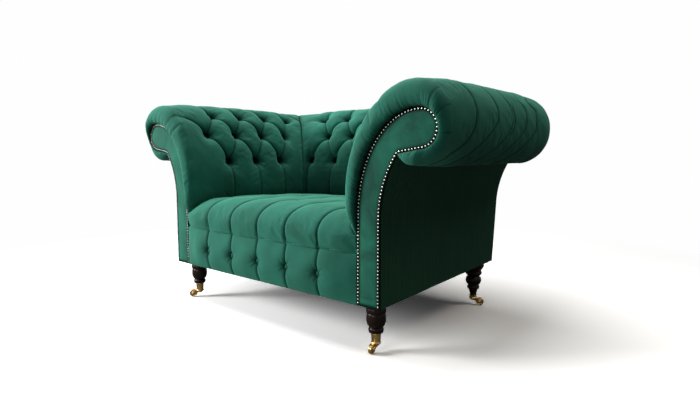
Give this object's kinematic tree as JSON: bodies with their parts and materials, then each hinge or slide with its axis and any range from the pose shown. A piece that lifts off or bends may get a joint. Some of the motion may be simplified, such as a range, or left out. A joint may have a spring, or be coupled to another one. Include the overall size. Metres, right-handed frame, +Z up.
{
  "type": "chesterfield armchair",
  "caption": "Wide, low armchair with rolled arms and back in deep-buttoned velvet, a fixed channelled seat, nail-trimmed scroll facings and turned legs on brass castors.",
  "frame": {"origin": "on the floor, under the middle of the chair's overall width and depth", "axes": "+X to the chair's left-hand arm as a sitter has it, which is the viewer's right from the front; the front faces -Y; +Z up"},
  "size_m": [1.4518, 0.9199, 0.7839],
  "materials": {
    "velvet": "matt cotton velvet, green",
    "velvet_shade": "flat cotton velvet, green",
    "hessian": "plain woven jute",
    "dust_cloth": "black non-woven cloth",
    "beech": "sawn, unfinished",
    "leg_wood": "turned, dark stain, gloss lacquer",
    "castor_brass": "polished",
    "nail_pewter": "antique pewter, domed heads",
    "steel": "bright zinc"
  },
  "bodies": {
    "chair": {"inside_arm_left": "velvet", "inside_arm_right": "velvet", "inside_back": "velvet", "seat": "velvet", "front_border": "velvet", "arm_facing_left": "velvet", "nail_strip_left": "nail_pewter", "outside_arm_left": "velvet_shade", "arm_facing_right": "velvet", "nail_strip_right": "nail_pewter", "outside_arm_right": "velvet_shade", "outside_back": "velvet_shade", "arm_board_left": "beech", "arm_roll_rail_left": "beech", "arm_stuff_rail_left": "beech", "arm_lining_left": "hessian", "side_rail_left": "beech", "back_post_left": "beech", "arm_board_right": "beech", "arm_roll_rail_right": "beech", "arm_stuff_rail_right": "beech", "arm_lining_right": "hessian", "side_rail_right": "beech", "back_post_right": "beech", "back_lining": "hessian", "seat_deck": "hessian", "back_roll_rail": "beech", "back_stuff_rail": "beech", "front_rail": "beech", "back_rail": "beech", "seat_springs": "steel", "dust_cover": "dust_cloth", "corner_block_front_left": "beech", "leg_front_left": "leg_wood", "leg_bolt_front_left": "steel", "castor_cup_front_left": "castor_brass", "corner_block_front_right": "beech", "leg_front_right": "leg_wood", "leg_bolt_front_right": "steel", "castor_cup_front_right": "castor_brass", "corner_block_rear_left": "beech", "leg_rear_left": "leg_wood", "leg_bolt_rear_left": "steel", "castor_cup_rear_left": "castor_brass", "corner_block_rear_right": "beech", "leg_rear_right": "leg_wood", "leg_bolt_rear_right": "steel", "castor_cup_rear_right": "castor_brass"},
    "swivel_front_left": {"castor_horn_front_left": "castor_brass", "castor_axle_front_left": "steel"},
    "wheel_front_left": {"castor_wheel_front_left": "castor_brass"},
    "swivel_front_right": {"castor_horn_front_right": "castor_brass", "castor_axle_front_right": "steel"},
    "wheel_front_right": {"castor_wheel_front_right": "castor_brass"},
    "swivel_rear_left": {"castor_horn_rear_left": "castor_brass", "castor_axle_rear_left": "steel"},
    "wheel_rear_left": {"castor_wheel_rear_left": "castor_brass"},
    "swivel_rear_right": {"castor_horn_rear_right": "castor_brass", "castor_axle_rear_right": "steel"},
    "wheel_rear_right": {"castor_wheel_rear_right": "castor_brass"}
  },
  "joints": [
    {"name": "castor_swivel_front_left", "type": "hinge", "parent": "chair", "child": "swivel_front_left", "pos_m": [-0.451, -0.375, 0.0242], "axis": [0, 0, 1], "continuous": true},
    {"name": "castor_roll_front_left", "type": "hinge", "parent": "swivel_front_left", "child": "wheel_front_left", "pos_m": [-0.46789, -0.39477, 0.015], "axis": [0.7604, -0.6494, 0], "continuous": true},
    {"name": "castor_swivel_front_right", "type": "hinge", "parent": "chair", "child": "swivel_front_right", "pos_m": [0.451, -0.375, 0.0242], "axis": [0, 0, 1], "continuous": true},
    {"name": "castor_roll_front_right", "type": "hinge", "parent": "swivel_front_right", "child": "wheel_front_right", "pos_m": [0.45516, -0.40067, 0.015], "axis": [0.9871, 0.1599, 0], "continuous": true},
    {"name": "castor_swivel_rear_left", "type": "hinge", "parent": "chair", "child": "swivel_rear_left", "pos_m": [-0.451, 0.243, 0.0242], "axis": [0, 0, 1], "continuous": true},
    {"name": "castor_roll_rear_left", "type": "hinge", "parent": "swivel_rear_left", "child": "wheel_rear_left", "pos_m": [-0.464, 0.26552, 0.015], "axis": [-0.866, -0.5, 0], "continuous": true},
    {"name": "castor_swivel_rear_right", "type": "hinge", "parent": "chair", "child": "swivel_rear_right", "pos_m": [0.451, 0.243, 0.0242], "axis": [0, 0, 1], "continuous": true},
    {"name": "castor_roll_rear_right", "type": "hinge", "parent": "swivel_rear_right", "child": "wheel_rear_right", "pos_m": [0.47635, 0.24876, 0.015], "axis": [-0.2215, 0.9751, 0], "continuous": true}
  ]
}
